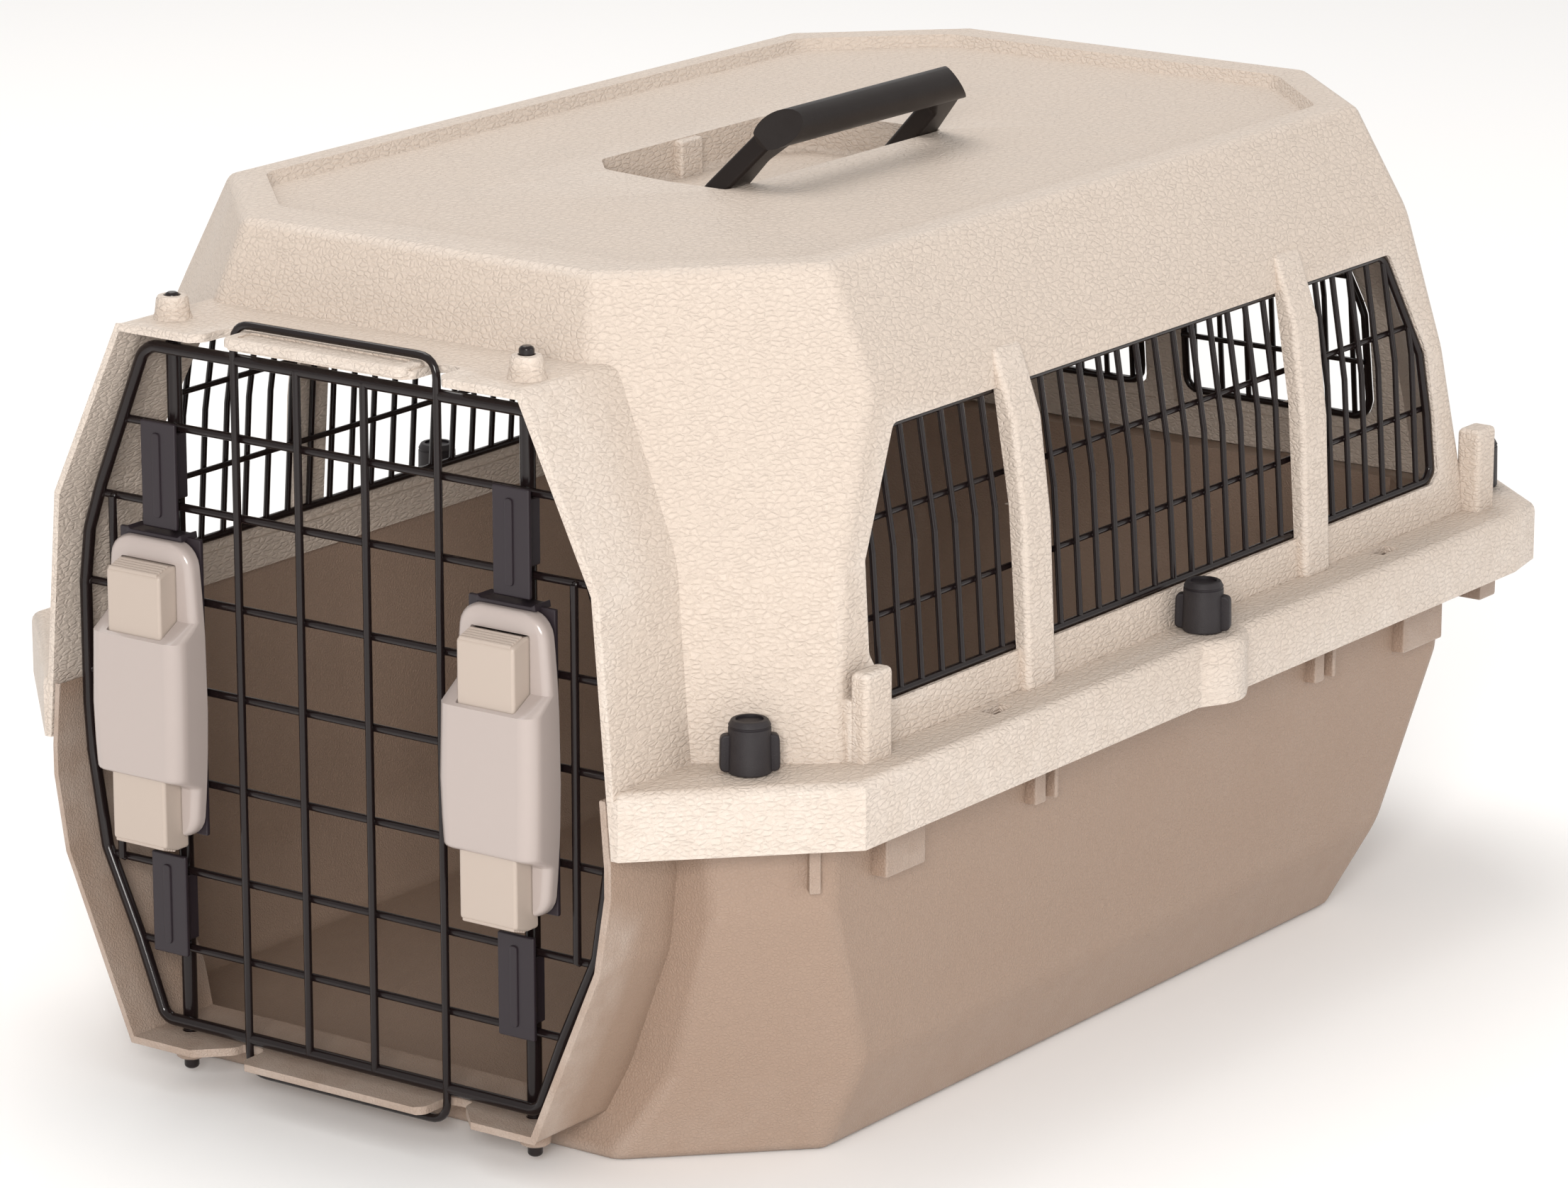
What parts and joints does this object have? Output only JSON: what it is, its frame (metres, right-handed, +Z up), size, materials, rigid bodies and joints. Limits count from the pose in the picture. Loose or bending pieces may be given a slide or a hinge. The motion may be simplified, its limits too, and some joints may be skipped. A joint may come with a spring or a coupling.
{
  "type": "pet transport carrier",
  "caption": "Hard-sided pet carrier: two clamped plastic shells, hinged wire door with sprung pinch latches, wire windows and a fold-down handle.",
  "frame": {"origin": "middle of the carrier's footprint, on the surface that it stands on", "axes": "+Z up, +Y from the door towards the rear wall, +X to the right of someone who faces the door"},
  "size_m": [0.3948, 0.584, 0.3391],
  "materials": {
    "upper_shell": "cream polypropylene with a moulded leather grain",
    "lower_shell": "taupe polypropylene with a fine pebble grain",
    "grille_wire": "glossy black dip coated steel wire",
    "door_wire": "glossy black dip coated steel wire",
    "black_channel": "satin black plastic",
    "latch_cover": "glossy grey beige plastic",
    "latch_plate": "satin black plastic",
    "latch_slider": "satin beige plastic",
    "spring": "bright spring steel",
    "handle": "semi gloss black brown plastic",
    "wing_nut": "satin charcoal plastic",
    "bolt": "zinc plated steel"
  },
  "bodies": {
    "root": {"upper_shell": "upper_shell", "lower_shell": "lower_shell", "side_grille_left": "grille_wire", "side_grille_right": "grille_wire", "rear_grille_left": "grille_wire", "rear_grille_right": "grille_wire", "bolt_front_left": "bolt", "bolt_front_right": "bolt", "bolt_middle_left": "bolt", "bolt_middle_right": "bolt", "bolt_rear_left": "bolt", "bolt_rear_right": "bolt", "handle_pin_front": "bolt", "handle_pin_rear": "bolt"},
    "door": {"door_lattice": "door_wire", "rod_guide_upper_left": "black_channel", "rod_guide_upper_right": "black_channel", "rod_guide_lower_left": "black_channel", "rod_guide_lower_right": "black_channel", "latch_cover_left": "latch_cover", "latch_cover_right": "latch_cover", "latch_plate_left": "latch_plate", "latch_plate_right": "latch_plate", "latch_spring_upper_left": "spring", "latch_spring_upper_right": "spring", "latch_spring_lower_left": "spring", "latch_spring_lower_right": "spring"},
    "handle": {"handle": "handle"},
    "latch_upper_left": {"latch_slider_upper_left": "latch_slider", "latch_rod_upper_left": "door_wire"},
    "latch_upper_right": {"latch_slider_upper_right": "latch_slider", "latch_rod_upper_right": "door_wire"},
    "latch_lower_left": {"latch_slider_lower_left": "latch_slider", "latch_rod_lower_left": "door_wire"},
    "latch_lower_right": {"latch_slider_lower_right": "latch_slider", "latch_rod_lower_right": "door_wire"},
    "wing_nut_front_left": {"wing_nut_front_left": "wing_nut"},
    "wing_nut_front_right": {"wing_nut_front_right": "wing_nut"},
    "wing_nut_middle_left": {"wing_nut_middle_left": "wing_nut"},
    "wing_nut_middle_right": {"wing_nut_middle_right": "wing_nut"},
    "wing_nut_rear_left": {"wing_nut_rear_left": "wing_nut"},
    "wing_nut_rear_right": {"wing_nut_rear_right": "wing_nut"}
  },
  "joints": [
    {"name": "door_swing", "type": "hinge", "parent": "root", "child": "door", "pos_m": [-0.0793, -0.2647, 0.1465], "axis": [0, 0, -1], "range_deg": [0, 90], "deforming": ["latch_rod_upper_right", "latch_rod_lower_right"]},
    {"name": "latch_upper_left_slide", "type": "slide", "parent": "door", "child": "latch_upper_left", "axis": [0, 0, -1], "range_m": [0, 0.017], "stiffness_N_per_m": 300, "springref_m": -0.01, "deforming": ["latch_spring_upper_left"]},
    {"name": "latch_upper_right_slide", "type": "slide", "parent": "door", "child": "latch_upper_right", "axis": [0, 0, -1], "range_m": [0, 0.017], "stiffness_N_per_m": 300, "springref_m": -0.01, "deforming": ["latch_spring_upper_right"]},
    {"name": "latch_lower_left_slide", "type": "slide", "parent": "door", "child": "latch_lower_left", "axis": [0, 0, 1], "range_m": [0, 0.017], "stiffness_N_per_m": 300, "springref_m": -0.01, "deforming": ["latch_spring_lower_left"]},
    {"name": "latch_lower_right_slide", "type": "slide", "parent": "door", "child": "latch_lower_right", "axis": [0, 0, 1], "range_m": [0, 0.017], "stiffness_N_per_m": 300, "springref_m": -0.01, "deforming": ["latch_spring_lower_right"]},
    {"name": "handle_fold", "type": "hinge", "parent": "root", "child": "handle", "pos_m": [0.007, 0.0025, 0.302], "axis": [0, -1, 0], "range_deg": [0, 131]},
    {"name": "wing_nut_front_left_turn", "type": "hinge", "parent": "root", "child": "wing_nut_front_left", "pos_m": [-0.151, -0.235, 0.15035], "axis": [0, 0, 1], "continuous": true},
    {"name": "wing_nut_front_right_turn", "type": "hinge", "parent": "root", "child": "wing_nut_front_right", "pos_m": [0.151, -0.235, 0.15035], "axis": [0, 0, 1], "continuous": true},
    {"name": "wing_nut_middle_left_turn", "type": "hinge", "parent": "root", "child": "wing_nut_middle_left", "pos_m": [-0.181, 0.009, 0.15035], "axis": [0, 0, 1], "continuous": true},
    {"name": "wing_nut_middle_right_turn", "type": "hinge", "parent": "root", "child": "wing_nut_middle_right", "pos_m": [0.181, 0.009, 0.15035], "axis": [0, 0, 1], "continuous": true},
    {"name": "wing_nut_rear_left_turn", "type": "hinge", "parent": "root", "child": "wing_nut_rear_left", "pos_m": [-0.1555, 0.258, 0.15035], "axis": [0, 0, 1], "continuous": true},
    {"name": "wing_nut_rear_right_turn", "type": "hinge", "parent": "root", "child": "wing_nut_rear_right", "pos_m": [0.1555, 0.258, 0.15035], "axis": [0, 0, 1], "continuous": true}
  ]
}
